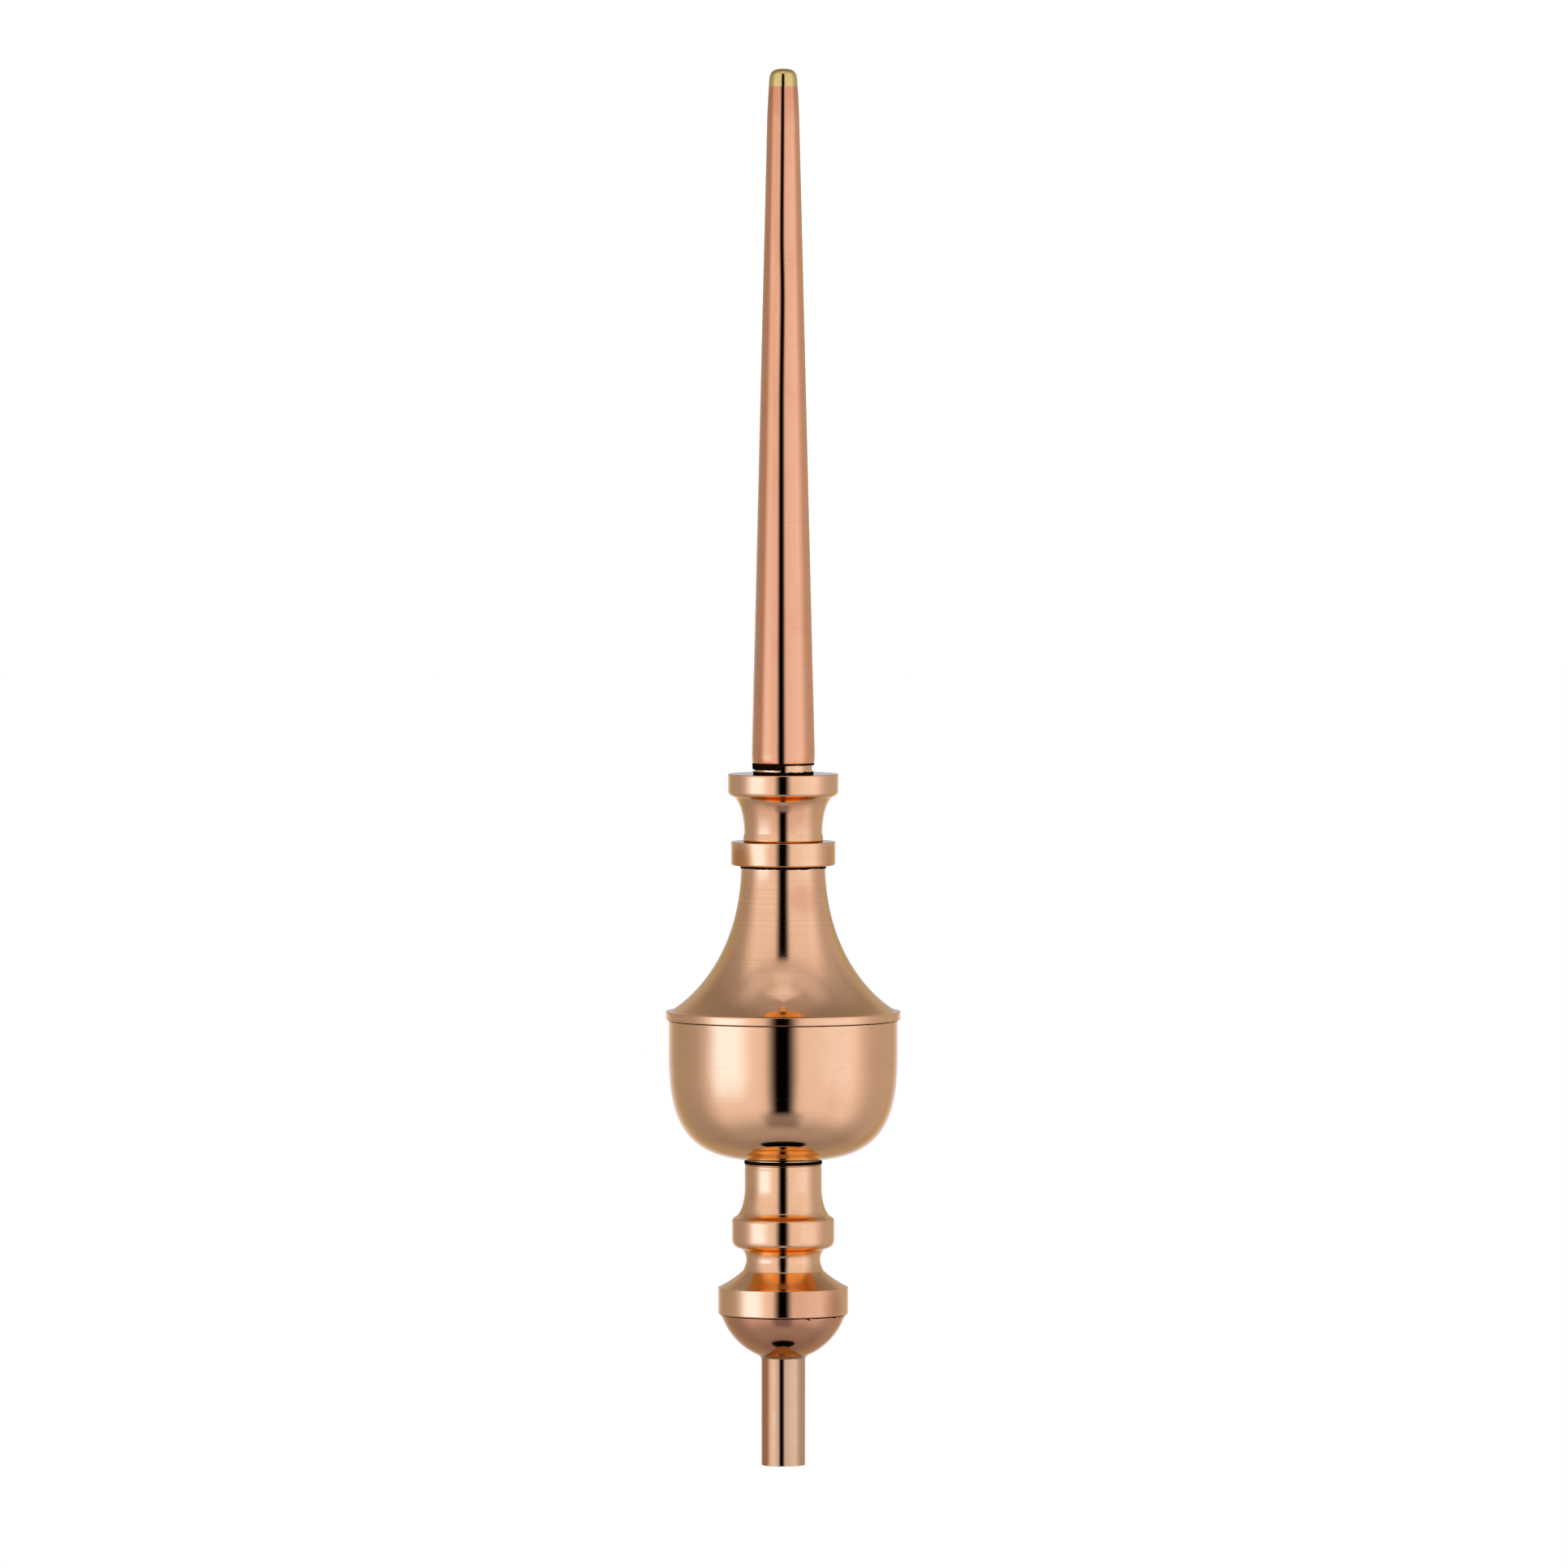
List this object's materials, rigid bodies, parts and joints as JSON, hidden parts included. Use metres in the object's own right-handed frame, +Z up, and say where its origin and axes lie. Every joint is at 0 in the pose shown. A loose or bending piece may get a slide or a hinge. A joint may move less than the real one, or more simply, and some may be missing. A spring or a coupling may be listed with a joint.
{
  "type": "roof finial",
  "caption": "Spun copper roof finial: tapered spire over a turned collar, urn and baluster, on an open stem tube that slides over a ridge post.",
  "frame": {"origin": "centre of the stem tube's open lower end, where the finial is pushed over its ridge post", "axes": "+Z up along the axis of turning, -Y towards the picture's camera"},
  "size_m": [0.1186, 0.1186, 0.7052],
  "materials": {
    "polished_copper": "spun copper, buffed to a mirror, with faint turning lines",
    "copper_tube": "drawn copper water tube, satin",
    "brass": "brazing brass, filed and buffed"
  },
  "bodies": {
    "root": {"stem_tube": "copper_tube", "bottom_cup": "polished_copper", "baluster": "polished_copper", "urn_bowl": "polished_copper", "urn_cover": "polished_copper", "collar_ring": "polished_copper", "upper_collar": "polished_copper", "spire": "polished_copper", "brass_nose": "brass"}
  },
  "joints": []
}
